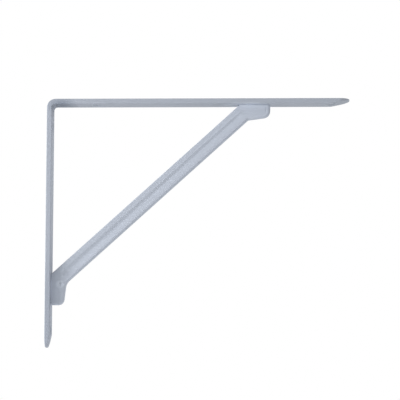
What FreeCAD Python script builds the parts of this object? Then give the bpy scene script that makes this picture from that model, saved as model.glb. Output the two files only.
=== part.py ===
import FreeCAD, Part
import math
import os

# A gallows shelf bracket: one flat steel bar bent square, with a pressed
# sheet-steel strut welded across the inside of the corner.
#
# Millimetres. +X runs out from the wall along the arm, +Y across the width,
# +Z up. The wall face of the leg is the plane X = 0. The origin lies on that
# face, midway between the two wall screw holes. "Depth" is measured straight
# down from the shelf face, and "reach" straight out from the wall face.

# Bent bar
arm_length = 305.0
leg_length = 250.0
bar_width = 25.0
bar_thickness = 5.0
bend_inner_radius = 3.5
end_corner_radius = 10.5
arm_bevel_length = 18.5
arm_tip_thickness = 1.3
leg_bevel_length = 13.5
leg_tip_thickness = 2.3
bar_edge_rounding = 0.6

# Screw holes
screw_hole_diameter = 5.2
countersink_diameter = 9.6
end_hole_inset = 17.0
wall_hole_top_depth = 27.0
shelf_hole_near_reach = 50.0

# Strut: a channel pressed from sheet, its open side towards the corner
sheet_thickness = 1.5
strut_width = 8.5
strut_depth = 17.0
strut_head_reach = 194.6
strut_foot_depth = 176.8
channel_edge_radius = 2.2
seat_edge_radius = 0.7
throat_radius = 1.5

# Head of the strut, seated under the arm
head_length = 30.5
head_end_height = 12.5
head_corner_radius = 7.5
head_slope_degrees = 7.9

# Foot of the strut, seated on the leg
foot_height = 30.7
foot_reach = 12.8
foot_lean_degrees = 6.9
foot_corner_radius = 6.0
knee_radius = 11.0

# Trough pressed along both walls of the strut: broad at the foot, narrow with
# a steep upper flank at the head. Near, bottom and far are measured from the
# open edge.
trough_start = 14.0
trough_stop = 1.0
trough_run_out = 9.0
trough_foot_near = 5.0
trough_foot_bottom = 9.0
trough_foot_far = 14.4
trough_foot_sink = 1.35
trough_foot_radius = 5.0
trough_head_near = 6.0
trough_head_bottom = 7.6
trough_head_far = 12.5
trough_head_sink = 0.5
trough_head_radius = 0.8

# Low ridge that the press heaps up beside the trough, in the half by the head
ridge_start = 125.0
ridge_full = 160.0
ridge_near = 4.2
ridge_peak = 5.4
ridge_rise = 0.25
ridge_bury = 0.05

# Crease that carries the trough on under the head's seat
crease_depth = 9.4
crease_half_width = 1.4
crease_length = 11.0
crease_climb = 1.0
crease_sink = 0.45
crease_radius = 0.6

# Pressed line inside the head's end
rim_inset = 4.2
rim_half_width = 0.8
rim_sink = 0.35
rim_radius = 0.4
rim_top_gap = 2.5
rim_bottom_gap = 4.3

# Weld dimple in the foot, with its raised lip
dimple_radius = 2.4
dimple_sink = 0.6
dimple_lip_radius = 0.6
dimple_lip_rise = 0.25
dimple_reach = 9.7
dimple_height = 21.2

groove_lift = 0.3
reach_past = 5.0

# Worked out from the sizes above
bend_outer_radius = bend_inner_radius + bar_thickness
wall_hole_low_depth = leg_length - end_hole_inset
shelf_hole_far_reach = arm_length - end_hole_inset
shelf_face_z = (wall_hole_top_depth + wall_hole_low_depth) / 2
half_width = bar_width / 2
half_strut = strut_width / 2


def point(reach, depth):
    return FreeCAD.Vector(reach, 0, shelf_face_z - depth)


def prism(wire, y_low, y_high):
    """Extrude a flat XZ wire, drawn at Y = 0, from y_low to y_high."""
    face = Part.Face(wire)
    face.translate(FreeCAD.Vector(0, y_low, 0))
    return face.extrude(FreeCAD.Vector(0, y_high - y_low, 0))


def unit(start, end):
    direction = end.sub(start)
    direction.normalize()
    return direction


def rounded_corner(before, corner, after, radius):
    """Tangent points and middle point of the arc that rounds a corner."""
    to_before = unit(corner, before)
    to_after = unit(corner, after)
    half_angle = to_before.getAngle(to_after) / 2
    setback = radius / math.tan(half_angle)
    first = corner.add(to_before.multiply(setback))
    last = corner.add(to_after.multiply(setback))
    inward = unit(corner, first.add(last).multiply(0.5))
    middle = corner.add(inward.multiply(radius / math.sin(half_angle) - radius))
    return first, middle, last


def rounded_outline(corners):
    """Closed wire through (point, radius) corners; radius 0 keeps it sharp."""
    points = [corner for corner, radius in corners]
    stops = []
    for index, (corner, radius) in enumerate(corners):
        before = points[index - 1]
        after = points[(index + 1) % len(points)]
        if radius > 0:
            stops.append(rounded_corner(before, corner, after, radius))
        else:
            stops.append((corner, None, corner))
    edges = []
    for index, (first, middle, last) in enumerate(stops):
        previous_last = stops[index - 1][2]
        if previous_last.distanceToPoint(first) > 1e-6:
            edges.append(Part.LineSegment(previous_last, first).toShape())
        if middle is not None:
            edges.append(Part.Arc(first, middle, last).toShape())
    return Part.Wire(edges)


# Bent bar

def bar_profile():
    """Side view of the bar, with the bevel that thins both ends."""
    corners = [
        (point(0, 0), bend_outer_radius),
        (point(0, leg_length), 0),
        (point(leg_tip_thickness, leg_length), 0),
        (point(bar_thickness, leg_length - leg_bevel_length), 0),
        (point(bar_thickness, bar_thickness), bend_inner_radius),
        (point(arm_length - arm_bevel_length, bar_thickness), 0),
        (point(arm_length, arm_tip_thickness), 0),
        (point(arm_length, 0), 0),
    ]
    return rounded_outline(corners)


def corner_waste(tip, outwards, through, side):
    """Waste outside one rounded corner of a bar end, at Y side +1 or -1.

    Tip is the middle of the end on the outer face, outwards is the way that
    the end points, and through is the way across the thickness.
    """
    sideways = FreeCAD.Vector(0, side, 0)
    diagonal = sideways.add(outwards)
    centre = tip.sub(FreeCAD.Vector(outwards).multiply(end_corner_radius))
    centre = centre.add(FreeCAD.Vector(0, side * (half_width - end_corner_radius), 0))
    centre = centre.sub(FreeCAD.Vector(through).multiply(reach_past))

    def away(direction, distance):
        return centre.add(FreeCAD.Vector(direction).multiply(distance))

    side_start = away(sideways, end_corner_radius)
    tip_end = away(outwards, end_corner_radius)
    far_corner = away(diagonal, end_corner_radius + reach_past)
    edges = [
        Part.Arc(side_start, away(diagonal, end_corner_radius * math.sqrt(0.5)),
                 tip_end).toShape(),
        Part.makeLine(tip_end, away(outwards, end_corner_radius + reach_past)),
        Part.makeLine(away(outwards, end_corner_radius + reach_past), far_corner),
        Part.makeLine(far_corner, away(sideways, end_corner_radius + reach_past)),
        Part.makeLine(away(sideways, end_corner_radius + reach_past), side_start),
    ]
    face = Part.Face(Part.Wire(edges))
    thickness = bar_thickness + 2 * reach_past
    return face.extrude(FreeCAD.Vector(through).multiply(thickness))


def screw_hole(mouth, inward):
    """A through hole countersunk at its mouth, cut along the inward direction."""
    sink_depth = (countersink_diameter - screw_hole_diameter) / 2
    start = mouth.sub(FreeCAD.Vector(inward).multiply(reach_past))
    shank = Part.makeCylinder(
        screw_hole_diameter / 2, bar_thickness + 2 * reach_past, start, inward)
    # The cone carries on past the face at the same slope
    cone_start = mouth.sub(FreeCAD.Vector(inward).multiply(sink_depth))
    cone = Part.makeCone(
        countersink_diameter / 2 + sink_depth, screw_hole_diameter / 2,
        2 * sink_depth, cone_start, inward)
    return shank.fuse(cone)


def hole_cutters():
    to_wall = FreeCAD.Vector(-1, 0, 0)
    to_shelf = FreeCAD.Vector(0, 0, 1)
    cutters = []
    for depth in (wall_hole_top_depth, wall_hole_low_depth):
        cutters.append(screw_hole(point(bar_thickness, depth), to_wall))
    for reach in (shelf_hole_near_reach, shelf_hole_far_reach):
        cutters.append(screw_hole(point(reach, bar_thickness), to_shelf))
    return cutters


def rounded_edges(bar):
    """The long edges on both sides, and the outlines of both rounded ends."""
    leg_corner = point(0, leg_length - end_corner_radius)
    arm_corner = point(arm_length - end_corner_radius, 0)
    chosen = []
    for edge in bar.Edges:
        box = edge.BoundBox
        middle = edge.valueAt((edge.FirstParameter + edge.LastParameter) / 2)
        straight_through = box.YLength < 1e-6
        on_side = straight_through and abs(abs(box.YMin) - half_width) < 1e-6
        at_end = middle.z < leg_corner.z or middle.x > arm_corner.x
        if on_side or (at_end and not straight_through):
            chosen.append(edge)
    return chosen


def make_bent_bar():
    bar = prism(bar_profile(), -half_width, half_width)
    down = FreeCAD.Vector(0, 0, -1)
    out = FreeCAD.Vector(1, 0, 0)
    for side in (-1, 1):
        bar = bar.cut(corner_waste(point(0, leg_length), down, out, side))
        bar = bar.cut(corner_waste(point(arm_length, 0), out, down, side))
    bar = bar.makeFillet(bar_edge_rounding, rounded_edges(bar))
    for cutter in hole_cutters():
        bar = bar.cut(cutter)
    return bar


# Strut

def strut_direction():
    start = point(bar_thickness, strut_foot_depth)
    end = point(strut_head_reach, bar_thickness)
    return unit(start, end)


def strut_across():
    direction = strut_direction()
    return FreeCAD.Vector(direction.z, 0, -direction.x)


def strut_point(along, across):
    """A point by its place along the strut's open edge and away from it."""
    start = point(bar_thickness, strut_foot_depth)
    along_part = strut_direction().multiply(along)
    return start.add(along_part).add(strut_across().multiply(across))


def strut_length():
    end = point(strut_head_reach, bar_thickness)
    return strut_point(0, 0).distanceToPoint(end)


def heading(degrees):
    """Unit direction in the XZ plane, turned up from +X."""
    angle = math.radians(degrees)
    return FreeCAD.Vector(math.cos(angle), 0, math.sin(angle))


def back_lines(inset):
    """The closed back of the channel from head to foot, moved inwards by inset.

    Each line is a point and a direction of travel, with the steel on its right.
    """
    head_end = strut_head_reach + head_length
    foot_bottom = strut_foot_depth + foot_height
    lines = [
        (point(head_end, bar_thickness), heading(-90)),
        (point(head_end, bar_thickness + head_end_height), heading(180 + head_slope_degrees)),
        (strut_point(0, strut_depth), strut_direction().multiply(-1)),
        (point(bar_thickness + foot_reach, foot_bottom), heading(-90 - foot_lean_degrees)),
        (point(bar_thickness, foot_bottom), heading(180)),
    ]
    moved = []
    for start, travel in lines:
        right = FreeCAD.Vector(travel.z, 0, -travel.x)
        moved.append((start.add(right.multiply(inset)), travel))
    return moved


def crossing(line_a, line_b):
    """Where two lines in the XZ plane cross."""
    start_a, travel_a = line_a
    start_b, travel_b = line_b
    gap = start_b.sub(start_a)
    turn = travel_a.x * travel_b.z - travel_a.z * travel_b.x
    step = (gap.x * travel_b.z - gap.z * travel_b.x) / turn
    return start_a.add(FreeCAD.Vector(travel_a).multiply(step))


def channel_outline(inset, open_gap):
    """Side view of the channel. An inset moves its closed back inwards, and an
    open gap runs its seats and its open side outwards."""
    lines = back_lines(inset)
    seat_reach = bar_thickness - open_gap
    seat_depth = bar_thickness - open_gap
    arm_seat = (point(0, seat_depth), heading(0))
    leg_seat = (point(seat_reach, 0), heading(-90))
    open_side = (strut_point(0, -open_gap), strut_direction())
    corners = [
        (crossing(leg_seat, open_side), 0),
        (crossing(open_side, arm_seat), 0),
        (crossing(arm_seat, lines[0]), 0),
        (crossing(lines[0], lines[1]), head_corner_radius - inset),
        (crossing(lines[1], lines[2]), throat_radius + inset),
        (crossing(lines[2], lines[3]), knee_radius + inset),
        (crossing(lines[3], lines[4]), foot_corner_radius - inset),
        (crossing(lines[4], leg_seat), 0),
    ]
    return rounded_outline(corners)


def bent_edges(channel, open_gap):
    """Edges where the walls turn into the closed back."""
    chosen = []
    for edge in channel.Edges:
        middle = edge.valueAt((edge.FirstParameter + edge.LastParameter) / 2)
        on_wall = edge.BoundBox.YLength < 1e-6
        on_leg_seat = middle.x < bar_thickness - open_gap + 1e-3
        on_arm_seat = middle.z > shelf_face_z - bar_thickness + open_gap - 1e-3
        from_open = middle.sub(strut_point(0, -open_gap)).dot(strut_across())
        if on_wall and not on_leg_seat and not on_arm_seat and from_open > 1e-3:
            chosen.append(edge)
    return chosen


def seat_edges(channel):
    """Edges of the walls round both seats and along the open side."""
    chosen = []
    for edge in channel.Edges:
        middle = edge.valueAt((edge.FirstParameter + edge.LastParameter) / 2)
        along_wall = edge.BoundBox.YLength < half_strut
        on_leg_seat = abs(middle.x - bar_thickness) < 1e-3
        on_arm_seat = abs(middle.z - shelf_face_z + bar_thickness) < 1e-3
        on_open_side = abs(middle.sub(strut_point(0, 0)).dot(strut_across())) < 1e-3
        at_closed_end = (on_leg_seat or on_arm_seat) and not on_open_side
        if at_closed_end or (along_wall and on_open_side):
            chosen.append(edge)
    return chosen


def channel_body(inset, open_gap):
    """The channel's outer form, or with an inset the space inside it."""
    wall = half_strut - inset
    body = prism(channel_outline(inset, open_gap), -wall, wall)
    return body.makeFillet(channel_edge_radius - inset, bent_edges(body, open_gap))


def groove_section(base, across, side, spans, sink, radius, rise):
    """One section of a pressed groove: two flanks that meet in a rounded bottom.

    It reaches above the wall, and rise lifts the whole section outwards.
    """
    near, bottom, far = spans
    spread = groove_lift / sink

    def at(offset, sunk):
        outwards = FreeCAD.Vector(0, side * (half_strut - sunk + rise), 0)
        return base.add(FreeCAD.Vector(across).multiply(offset)).add(outwards)

    near_top = at(near - spread * (bottom - near), -groove_lift)
    far_top = at(far + spread * (far - bottom), -groove_lift)
    first, middle, last = rounded_corner(near_top, at(bottom, sink), far_top, radius)
    edges = [
        Part.makeLine(near_top, first),
        Part.Arc(first, middle, last).toShape(),
        Part.makeLine(last, far_top),
        Part.makeLine(far_top, near_top),
    ]
    return Part.Wire(edges)


def trough(side):
    """The long trough, run out into the wall at both ends."""
    foot = (trough_foot_near, trough_foot_bottom, trough_foot_far)
    head = (trough_head_near, trough_head_bottom, trough_head_far)
    end = strut_length() - trough_stop
    across = strut_across()
    sections = [
        groove_section(strut_point(trough_start - trough_run_out, 0), across, side,
                       foot, trough_foot_sink, trough_foot_radius, trough_foot_sink),
        groove_section(strut_point(trough_start, 0), across, side,
                       foot, trough_foot_sink, trough_foot_radius, 0),
        groove_section(strut_point(end - trough_run_out, 0), across, side,
                       head, trough_head_sink, trough_head_radius, 0),
        groove_section(strut_point(end, 0), across, side,
                       head, trough_head_sink, trough_head_radius, trough_head_sink),
    ]
    return Part.makeLoft(sections, True, True)


def ridge(side):
    """The ridge beside the trough, which cuts away its far side."""
    end = strut_length() - trough_stop
    sections = []
    for along, rise in ((ridge_start, -ridge_bury), (ridge_full, ridge_rise),
                        (end - trough_run_out, ridge_rise), (end, -ridge_bury)):
        corners = []
        for offset, height in ((ridge_near, -groove_lift), (ridge_near, -ridge_bury),
                               (ridge_peak, rise), (trough_head_bottom, rise),
                               (trough_head_bottom, -groove_lift)):
            outwards = FreeCAD.Vector(0, side * (half_strut + height), 0)
            corners.append(strut_point(along, offset).add(outwards))
        sections.append(Part.makePolygon(corners + corners[:1]))
    return Part.makeLoft(sections, True, True)


def head_crease(side):
    """A narrow crease that leaves the trough and fades out under the arm."""
    spans = (-crease_half_width, 0, crease_half_width)
    start = crossing(
        (strut_point(0, trough_head_bottom), strut_direction()),
        (point(0, bar_thickness + crease_depth), heading(0)))
    sections = []
    for step, climb, rise in ((0, 0, 0), (crease_length, crease_climb, crease_sink)):
        base = start.add(FreeCAD.Vector(step, 0, climb))
        sections.append(groove_section(
            base, heading(-90), side, spans, crease_sink, crease_radius, rise))
    return Part.makeLoft(sections, True, True)


def rim_line(side):
    """A short pressed line that follows the end of the head."""
    spans = (-rim_half_width, 0, rim_half_width)
    reach = strut_head_reach + head_length - rim_inset
    low_depth = bar_thickness + head_end_height - rim_bottom_gap
    sections = []
    for depth in (bar_thickness + rim_top_gap, low_depth):
        sections.append(groove_section(
            point(reach, depth), heading(0), side, spans, rim_sink, rim_radius, 0))
    return Part.makeLoft(sections, True, True)


def dimple_centre(side, outwards):
    centre = point(bar_thickness + dimple_reach, strut_foot_depth + foot_height - dimple_height)
    return centre.add(FreeCAD.Vector(0, side * (half_strut + outwards), 0))


def dimple(side):
    """A shallow round dish where the wall was spot-welded."""
    ball = (dimple_radius ** 2 + dimple_sink ** 2) / (2 * dimple_sink)
    return Part.makeSphere(ball, dimple_centre(side, ball - dimple_sink))


def dimple_lip(side):
    """The steel pushed up round the dish."""
    centre = dimple_centre(side, dimple_lip_rise - dimple_lip_radius)
    across = FreeCAD.Vector(0, 1, 0)
    return Part.makeTorus(dimple_radius, dimple_lip_radius, centre, across)


def make_strut():
    body = channel_body(0, 0)
    body = body.makeFillet(seat_edge_radius, seat_edges(body))
    hollow = channel_body(sheet_thickness, reach_past)
    for side in (-1, 1):
        inwards = FreeCAD.Vector(0, -side * sheet_thickness, 0)
        body = body.fuse(ridge(side))
        for press in (trough, head_crease, rim_line, dimple):
            tool = press(side)
            # The outside is pressed in, and the steel stands into the hollow
            if press is dimple:
                body = body.fuse(dimple_lip(side))
            body = body.cut(tool)
            hollow = hollow.cut(tool.translated(inwards))
    return body.cut(hollow)


def build():
    os.makedirs("parts", exist_ok=True)
    shapes = {
        "bent_bar": make_bent_bar(),
        "strut": make_strut(),
    }
    for name, shape in shapes.items():
        shape.exportStep("parts/" + name + ".step")
        box = shape.BoundBox
        print(name, shape.isValid(), len(shape.Solids), round(shape.Volume, 1),
              [round(value, 2) for value in (box.XMin, box.XMax, box.YMin,
                                             box.YMax, box.ZMin, box.ZMax)])


build()
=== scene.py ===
import math
from collections import namedtuple

import bpy
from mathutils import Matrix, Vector


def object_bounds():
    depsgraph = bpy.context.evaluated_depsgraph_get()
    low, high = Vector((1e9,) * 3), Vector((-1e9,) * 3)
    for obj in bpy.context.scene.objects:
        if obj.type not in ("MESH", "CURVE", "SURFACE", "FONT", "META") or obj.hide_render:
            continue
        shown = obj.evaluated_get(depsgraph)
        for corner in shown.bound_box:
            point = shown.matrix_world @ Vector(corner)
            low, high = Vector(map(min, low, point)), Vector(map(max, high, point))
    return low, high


# Dresses the gallows shelf bracket: a satin powder coat on the bar and the strut, a pale
# floor, one key light, a soft world and the photograph's viewing angle.
# Metres, in the part's own frame: +X out from the wall, +Y away from the camera, +Z up.

# Camera, fitted to the outline of the bracket in the 400 px square photograph
IMAGE_SIZE = 400.0
CAMERA_PLACE = (0.2097, -1.8661, -0.1909)
CAMERA_PITCH = math.radians(6.70)
CAMERA_ROLL = math.radians(-0.13)
CAMERA_YAW = math.radians(1.687)
FOCAL_PIXELS = 1867.6
SENSOR_WIDTH = 36.0
CLIP_START = 0.05
CLIP_END = 50.0

# Key light, broad, on the left and a little above, aimed at the middle of the bracket
KEY_PLACE = (-2.30, -1.20, 0.40)
KEY_TARGET = (0.12, 0.0, 0.02)
KEY_WIDTH = 1.4
KEY_HEIGHT = 1.8
KEY_WATTS = 74.0

# The world's light grows with each axis of the direction that it comes from: the values
# of that axis between which it grows, and the strength that it adds at both
WORLD_COLOUR = (0.985, 0.992, 1.0, 1.0)
WORLD_GROWTH = {"Y": (-0.1, 0.6, 0.19, 1.05),
                "Z": (0.0, 1.0, 0.0, 0.25),
                "X": (0.1, 1.0, 0.0, 0.55)}
WHITE = (1.0, 1.0, 1.0, 1.0)
WHITE_STRENGTH = 1.0

FLOOR_HEIGHT = -0.34
FLOOR_SIZE = 8.0
FLOOR_COLOUR = (0.94, 0.94, 0.94, 1.0)
# Distances from the object between which the floor turns white
FLOOR_FADE_START = 0.5
FLOOR_FADE_END = 1.6

# Tones of the coat: two of its clouds, its grain, and its paler edges, a painted edge highlight
# where the coat also runs thin
CLOUD_DULL = (0.463, 0.503, 0.580)
CLOUD_PALE = (0.477, 0.517, 0.592)
GRAIN_TONE = (0.480, 0.520, 0.594)
EDGE_HIGHLIGHT_TONE = (0.487, 0.525, 0.594)

# Patterns of the coat: how many to the metre, their detail, and the noise values between
# which they go from none to full
CLOUDS = (14.0, 2.0, 0.35, 0.65)
GRAIN = (900.0, 2.0, 0.3, 0.7)
EDGE_RADIUS = 0.0007
EDGE_SAMPLES = 8
# Agreement of the rounded normal with the face's where the painted edge highlight is full
EDGE_HIGHLIGHT_FULL = 0.9

# Orange peel, low waves and then the ripple on them: how many to the metre, their detail,
# strength and height
PEEL = ((420.0, 2.0, 0.012, 0.0006),
        (1500.0, 1.0, 0.010, 0.0002))

COAT_IOR = 1.5
COAT_SPECULAR = 0.3
ROUGHNESS_DULL = 0.62
ROUGHNESS_PALE = 0.70

# How light each piece's tones are, as a share of those above, and its tone at the arm's tip: painted
# shade on the bar, darker towards the tip for the light's falloff; the strut's stays near its own
# tone
BAR_LIGHTNESS = 0.83
BAR_TIP_PAINTED_SHADE = (0.438, 0.476, 0.541)
STRUT_LIGHTNESS = 0.985
STRUT_TIP_TONE = (0.470, 0.510, 0.586)

BAR_THICKNESS = 0.005
# From the arm's tip back to the strut's head, and from the leg's tip up to its foot
TIP_TO_HEAD = 0.102
TIP_TO_FOOT = 0.058
# A reach far wider than the bracket, for spots that go right across it
ACROSS = 1.0
# Share of its reach within which a spot has its full colour
SPOT_CORE = 0.25

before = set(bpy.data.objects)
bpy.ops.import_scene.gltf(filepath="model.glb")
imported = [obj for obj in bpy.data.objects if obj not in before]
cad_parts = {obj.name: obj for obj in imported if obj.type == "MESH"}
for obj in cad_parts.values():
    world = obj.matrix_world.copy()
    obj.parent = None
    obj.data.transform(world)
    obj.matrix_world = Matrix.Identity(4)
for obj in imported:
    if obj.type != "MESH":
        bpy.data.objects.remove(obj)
cad_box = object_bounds()
scene = bpy.context.scene

# Lines of the bracket, from its own box
(wall_x, _, leg_tip_z), (arm_tip_x, _, shelf_z) = cad_box
leg_face_x = wall_x + BAR_THICKNESS
arm_under_z = shelf_z - BAR_THICKNESS
head_x = arm_tip_x - TIP_TO_HEAD
foot_z = leg_tip_z + TIP_TO_FOOT
# Where the painted shade for the light's falloff towards the arm's tip starts and is full
painted_falloff_start_x = wall_x + 0.002
painted_falloff_end_x = arm_tip_x - 0.005

# Places where light and shade are painted into the coat. Painted shade in the inner corner beside
# the bend, and painted shade down the leg towards its tip, where less light falls.
Spot = namedtuple("Spot", "centre reach colour")
BEND_PAINTED_SHADE = Spot(centre=(leg_face_x + 0.0100, 0.0, arm_under_z - 0.0025),
            reach=(0.0160, ACROSS, 0.0100),
            colour=(0.27, 0.31, 0.38))
LEG_PAINTED_SHADE = Spot(centre=(wall_x, 0.0, leg_tip_z + 0.0350),
                reach=(0.0300, ACROSS, 0.0750),
                colour=(0.425, 0.464, 0.540))

# Painted light in the strut's seams, on the bar and on the strut itself, lifting the shade where the
# strut meets the bar.
HEAD_SEAM_PAINTED_LIGHT = Spot(centre=(head_x, 0.0, arm_under_z),
                 reach=(0.0300, 0.0150, 0.0026),
                 colour=(0.74, 0.80, 0.91))
FOOT_SEAM_PAINTED_LIGHT = Spot(centre=(leg_face_x, 0.0, foot_z),
                 reach=(0.0022, 0.0140, 0.0230),
                 colour=(0.70, 0.755, 0.86))
HEAD_TOP_PAINTED_LIGHT = Spot(centre=(head_x + 0.0010, 0.0, arm_under_z),
                reach=(0.0300, ACROSS, 0.0065),
                colour=(0.62, 0.665, 0.75))
FOOT_BACK_PAINTED_LIGHT = Spot(centre=(leg_face_x, 0.0, foot_z),
                 reach=(0.0040, ACROSS, 0.0260),
                 colour=(0.53, 0.57, 0.65))

# Painted highlight over the foot and the lip of the foot's dimple, with painted shade in the
# dimple's hollow.
FOOT_MIDDLE_PAINTED_HIGHLIGHT = Spot(centre=(leg_face_x + 0.0070, 0.0, foot_z),
                   reach=(0.0065, ACROSS, 0.0280),
                   colour=(0.535, 0.582, 0.668))
DIMPLE_LIP_PAINTED_HIGHLIGHT = Spot(centre=(leg_face_x + 0.0093, 0.0, foot_z + 0.0053),
                  reach=(0.0047, ACROSS, 0.0047),
                  colour=(0.70, 0.75, 0.84))
DIMPLE_PAINTED_SHADE = Spot(centre=(leg_face_x + 0.0098, 0.0, foot_z + 0.0060),
              reach=(0.0028, ACROSS, 0.0028),
              colour=(0.500, 0.542, 0.622))

BAR_SPOTS = (BEND_PAINTED_SHADE, LEG_PAINTED_SHADE, HEAD_SEAM_PAINTED_LIGHT, FOOT_SEAM_PAINTED_LIGHT)
STRUT_SPOTS = (HEAD_TOP_PAINTED_LIGHT, FOOT_BACK_PAINTED_LIGHT, FOOT_MIDDLE_PAINTED_HIGHLIGHT, DIMPLE_LIP_PAINTED_HIGHLIGHT, DIMPLE_PAINTED_SHADE)


def make_camera():
    data = bpy.data.cameras.new("camera")
    data.sensor_width = SENSOR_WIDTH
    data.lens = FOCAL_PIXELS / IMAGE_SIZE * SENSOR_WIDTH
    data.clip_start = CLIP_START
    data.clip_end = CLIP_END
    camera = bpy.data.objects.new("camera", data)
    camera.location = CAMERA_PLACE
    camera.rotation_euler = (math.radians(90) + CAMERA_PITCH, CAMERA_ROLL, CAMERA_YAW)
    scene.collection.objects.link(camera)
    scene.camera = camera


def make_key_light():
    data = bpy.data.lights.new("key_left", "AREA")
    data.shape = "RECTANGLE"
    data.size = KEY_WIDTH
    data.size_y = KEY_HEIGHT
    data.energy = KEY_WATTS
    lamp = bpy.data.objects.new("key_left", data)
    lamp.location = KEY_PLACE
    aim = Vector(KEY_TARGET) - Vector(KEY_PLACE)
    lamp.rotation_euler = aim.to_track_quat("-Z", "Y").to_euler()
    lamp.visible_camera = False
    scene.collection.objects.link(lamp)


def new_tree(owner):
    owner.use_nodes = True
    tree = owner.node_tree
    tree.nodes.clear()
    return tree


def give(tree, value, socket):
    """Sets the socket to a plain value, or links another node's output to it."""
    if isinstance(value, bpy.types.NodeSocket):
        tree.links.new(value, socket)
    else:
        socket.default_value = value


def combine(tree, operation, values):
    """All the values put together by one operation of the math node."""
    result = values[0]
    for value in values[1:]:
        node = tree.nodes.new("ShaderNodeMath")
        node.operation = operation
        give(tree, result, node.inputs[0])
        give(tree, value, node.inputs[1])
        result = node.outputs[0]
    return result


def vector_math(tree, operation, output, *values):
    node = tree.nodes.new("ShaderNodeVectorMath")
    node.operation = operation
    for value, socket in zip(values, node.inputs):
        give(tree, value, socket)
    return node.outputs[output]


def split_axes(tree, vector):
    node = tree.nodes.new("ShaderNodeSeparateXYZ")
    tree.links.new(vector, node.inputs[0])
    return node.outputs


def remap(tree, value, low, high, new_low, new_high):
    node = tree.nodes.new("ShaderNodeMapRange")
    node.inputs["From Min"].default_value = low
    node.inputs["From Max"].default_value = high
    node.inputs["To Min"].default_value = new_low
    node.inputs["To Max"].default_value = new_high
    tree.links.new(value, node.inputs["Value"])
    return node.outputs["Result"]


def noise(tree, place, scale, detail):
    node = tree.nodes.new("ShaderNodeTexNoise")
    node.inputs["Scale"].default_value = scale
    node.inputs["Detail"].default_value = detail
    tree.links.new(place, node.inputs["Vector"])
    return node.outputs["Fac"]


def mix_colour(tree, factor, first, second):
    node = tree.nodes.new("ShaderNodeMix")
    node.data_type = "RGBA"
    tree.links.new(factor, node.inputs["Factor"])
    give(tree, first, node.inputs["A"])
    give(tree, second, node.inputs["B"])
    return node.outputs["Result"]


def mix_shaders(tree, factor, first, second, output_kind):
    """Puts the mix of two shaders on the tree's output."""
    mix = tree.nodes.new("ShaderNodeMixShader")
    output = tree.nodes.new(output_kind)
    tree.links.new(factor, mix.inputs["Fac"])
    tree.links.new(first.outputs[0], mix.inputs[1])
    tree.links.new(second.outputs[0], mix.inputs[2])
    tree.links.new(mix.outputs[0], output.inputs["Surface"])


def seen_direct(tree):
    """1 where the camera sees a surface straight, in a mirror or through glass."""
    path = tree.nodes.new("ShaderNodeLightPath")
    rays = ("Is Camera Ray", "Is Glossy Ray", "Is Transmission Ray")
    return combine(tree, "MAXIMUM", [path.outputs[ray] for ray in rays])


def make_world():
    """Pure white to the eye, and a soft light that grows to the back, the top and the right."""
    world = bpy.data.worlds.new("studio")
    scene.world = world
    tree = new_tree(world)
    white = tree.nodes.new("ShaderNodeBackground")
    white.inputs["Color"].default_value = WHITE
    white.inputs["Strength"].default_value = WHITE_STRENGTH
    soft = tree.nodes.new("ShaderNodeBackground")
    soft.inputs["Color"].default_value = WORLD_COLOUR
    direction = split_axes(tree, tree.nodes.new("ShaderNodeTexCoord").outputs["Generated"])
    strengths = [remap(tree, direction[axis], *growth) for axis, growth in WORLD_GROWTH.items()]
    tree.links.new(combine(tree, "ADD", strengths), soft.inputs["Strength"])
    mix_shaders(tree, seen_direct(tree), soft, white, "ShaderNodeOutputWorld")
    # A smooth world needs no light sampling of its own, which keeps the grain down
    world.cycles.sampling_method = "NONE"


def floor_paint():
    """Pale paint that runs out into the white of the backdrop far from the object."""
    material = bpy.data.materials.new("floor_white")
    tree = new_tree(material)
    paint = tree.nodes.new("ShaderNodeBsdfDiffuse")
    paint.inputs["Color"].default_value = FLOOR_COLOUR
    white = tree.nodes.new("ShaderNodeEmission")
    white.inputs["Color"].default_value = WHITE
    white.inputs["Strength"].default_value = WHITE_STRENGTH
    place = tree.nodes.new("ShaderNodeTexCoord").outputs["Object"]
    distance = vector_math(tree, "LENGTH", "Value", place)
    fade = remap(tree, distance, FLOOR_FADE_START, FLOOR_FADE_END, 0.0, 1.0)
    far = combine(tree, "MULTIPLY", [fade, seen_direct(tree)])
    mix_shaders(tree, far, paint, white, "ShaderNodeOutputMaterial")
    return material


def make_floor():
    half = FLOOR_SIZE / 2
    corners = [(-half, -half), (half, -half), (half, half), (-half, half)]
    mesh = bpy.data.meshes.new("floor")
    mesh.from_pydata([(x, y, FLOOR_HEIGHT) for x, y in corners], [], [(0, 1, 2, 3)])
    mesh.materials.append(floor_paint())
    floor = bpy.data.objects.new("floor", mesh)
    scene.collection.objects.link(floor)


def pattern(tree, place, scale, detail, low, high):
    """Noise spread out to go from 0 to 1 between its low and high values."""
    return remap(tree, noise(tree, place, scale, detail), low, high, 0.0, 1.0)


def edge_highlight_mask(tree):
    """Near 1 along the edges, where the coat runs thin and a paler painted highlight goes."""
    bevel = tree.nodes.new("ShaderNodeBevel")
    bevel.samples = EDGE_SAMPLES
    bevel.inputs["Radius"].default_value = EDGE_RADIUS
    face = tree.nodes.new("ShaderNodeNewGeometry").outputs["Normal"]
    agreement = vector_math(tree, "DOT_PRODUCT", "Value", bevel.outputs[0], face)
    return remap(tree, agreement, 1.0, EDGE_HIGHLIGHT_FULL, 0.0, 1.0)


def spot_mask(tree, place, spot):
    """1 round the spot's centre, falling to 0 at its reach along X, Y and Z."""
    offset = vector_math(tree, "SUBTRACT", "Vector", place, spot.centre)
    per_reach = [1.0 / reach for reach in spot.reach]
    scaled = vector_math(tree, "MULTIPLY", "Vector", offset, per_reach)
    distance = vector_math(tree, "LENGTH", "Value", scaled)
    return remap(tree, distance, SPOT_CORE, 1.0, 1.0, 0.0)


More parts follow.
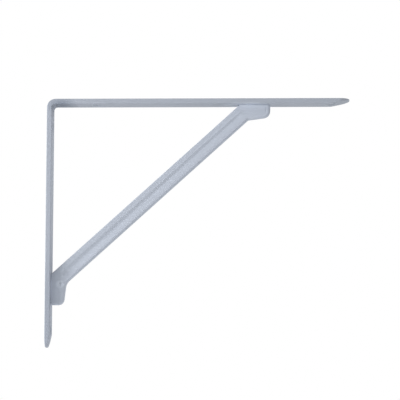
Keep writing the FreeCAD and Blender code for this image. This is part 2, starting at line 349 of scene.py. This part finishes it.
def orange_peel(tree, place):
    """The coat's normals, with low waves and a finer ripple on them."""
    normal = None
    for scale, detail, strength, height in PEEL:
        bump = tree.nodes.new("ShaderNodeBump")
        bump.inputs["Strength"].default_value = strength
        bump.inputs["Distance"].default_value = height
        tree.links.new(noise(tree, place, scale, detail), bump.inputs["Height"])
        if normal:
            tree.links.new(normal, bump.inputs["Normal"])
        normal = bump.outputs["Normal"]
    return normal


def powder_coat(name, lightness, tip_falloff_tone, spots):
    """The satin coat. Lightness below 1 darkens all its tones, the tip tone is the one that it
    reaches at the arm's tip, painted shade for the light's falloff on the bar, and spots are the
    places where light or shade is painted into it."""
    material = bpy.data.materials.new(name)

    def lit(colour):
        return tuple(channel * lightness for channel in colour) + (1.0,)

    tree = new_tree(material)
    place = tree.nodes.new("ShaderNodeTexCoord").outputs["Object"]
    clouds = pattern(tree, place, *CLOUDS)
    grain = pattern(tree, place, *GRAIN)
    tone = mix_colour(tree, clouds, lit(CLOUD_DULL), lit(CLOUD_PALE))
    tone = mix_colour(tree, grain, tone, lit(GRAIN_TONE))
    # Paler along the edges: a painted edge highlight, where the coat also runs thin
    tone = mix_colour(tree, edge_highlight_mask(tree), tone, lit(EDGE_HIGHLIGHT_TONE))
    # Painted shade for the light's falloff: the tone goes over to the tip tone along the arm towards
    # its tip
    along_arm = split_axes(tree, place)["X"]
    painted_falloff = remap(tree, along_arm, painted_falloff_start_x, painted_falloff_end_x, 0.0, 1.0)
    tone = mix_colour(tree, painted_falloff, tone, lit(tip_falloff_tone))
    # Painted light and shade at the spots
    for spot in spots:
        tone = mix_colour(tree, spot_mask(tree, place, spot), tone, lit(spot.colour))

    coat = tree.nodes.new("ShaderNodeBsdfPrincipled")
    coat.inputs["IOR"].default_value = COAT_IOR
    coat.inputs["Specular IOR Level"].default_value = COAT_SPECULAR
    roughness = remap(tree, clouds, 0.0, 1.0, ROUGHNESS_DULL, ROUGHNESS_PALE)
    tree.links.new(tone, coat.inputs["Base Color"])
    tree.links.new(roughness, coat.inputs["Roughness"])
    tree.links.new(orange_peel(tree, place), coat.inputs["Normal"])
    output = tree.nodes.new("ShaderNodeOutputMaterial")
    tree.links.new(coat.outputs[0], output.inputs["Surface"])
    return material


def dress_frame():
    coats = {"bent_bar": powder_coat("powder_coat_bar", BAR_LIGHTNESS, BAR_TIP_PAINTED_SHADE, BAR_SPOTS),
             "strut": powder_coat("powder_coat_strut", STRUT_LIGHTNESS, STRUT_TIP_TONE, STRUT_SPOTS)}
    for name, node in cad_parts.items():
        for slot in node.material_slots:
            slot.material = coats[name]


make_camera()
make_world()
make_key_light()
make_floor()
dress_frame()

scene.view_settings.view_transform = "Standard"
